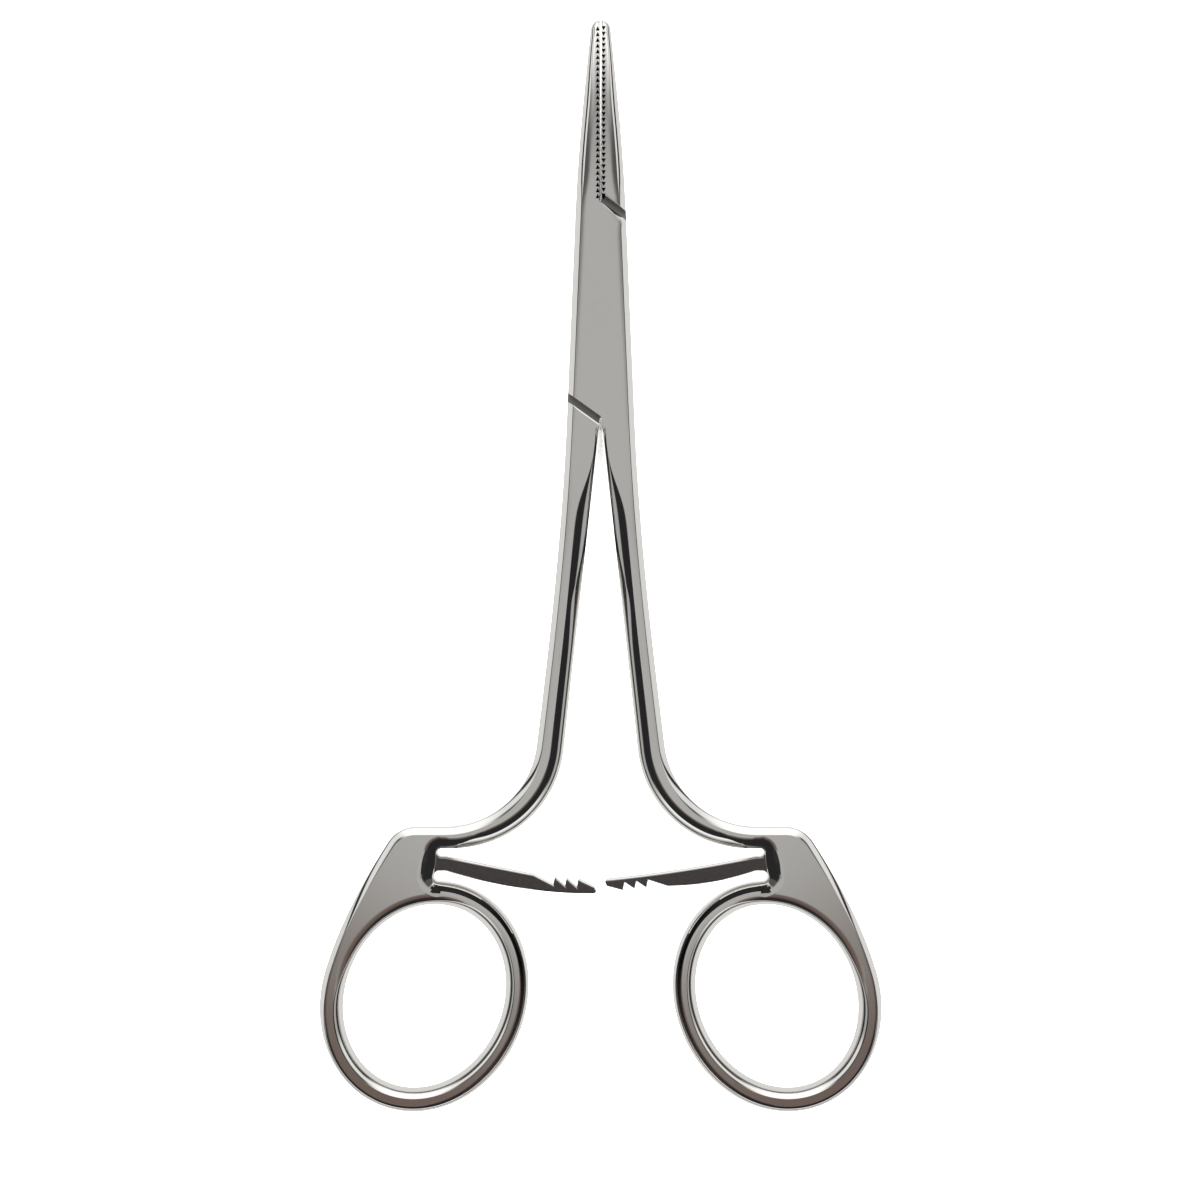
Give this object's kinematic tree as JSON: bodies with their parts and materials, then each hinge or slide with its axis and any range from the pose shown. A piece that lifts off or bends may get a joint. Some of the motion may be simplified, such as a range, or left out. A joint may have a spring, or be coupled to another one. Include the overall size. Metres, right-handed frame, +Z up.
{
  "type": "hemostat forceps",
  "caption": "Straight ring-handled clamping forceps in polished steel, with serrated jaws, a box joint and ratchet arms between the finger rings.",
  "frame": {"origin": "on the pivot axis, in the flat underside of the box joint that the instrument lies on", "axes": "+Y along the instrument towards the jaw tips, +Z up through the box joint's thickness, +X across towards the female arm's finger ring"},
  "size_m": [0.0642, 0.1247, 0.0044],
  "materials": {
    "polished_steel": "mirror-polished surgical stainless steel",
    "pin_steel": "rivet ground and polished flush"
  },
  "bodies": {
    "female": {"female_arm": "polished_steel", "hinge_pin": "pin_steel"},
    "male": {"male_arm": "polished_steel"}
  },
  "joints": [
    {"name": "box_pivot", "type": "hinge", "parent": "female", "child": "male", "pos_m": [0, 0, 0], "axis": [0, 0, -1], "range_deg": [-0.3, 50]}
  ]
}
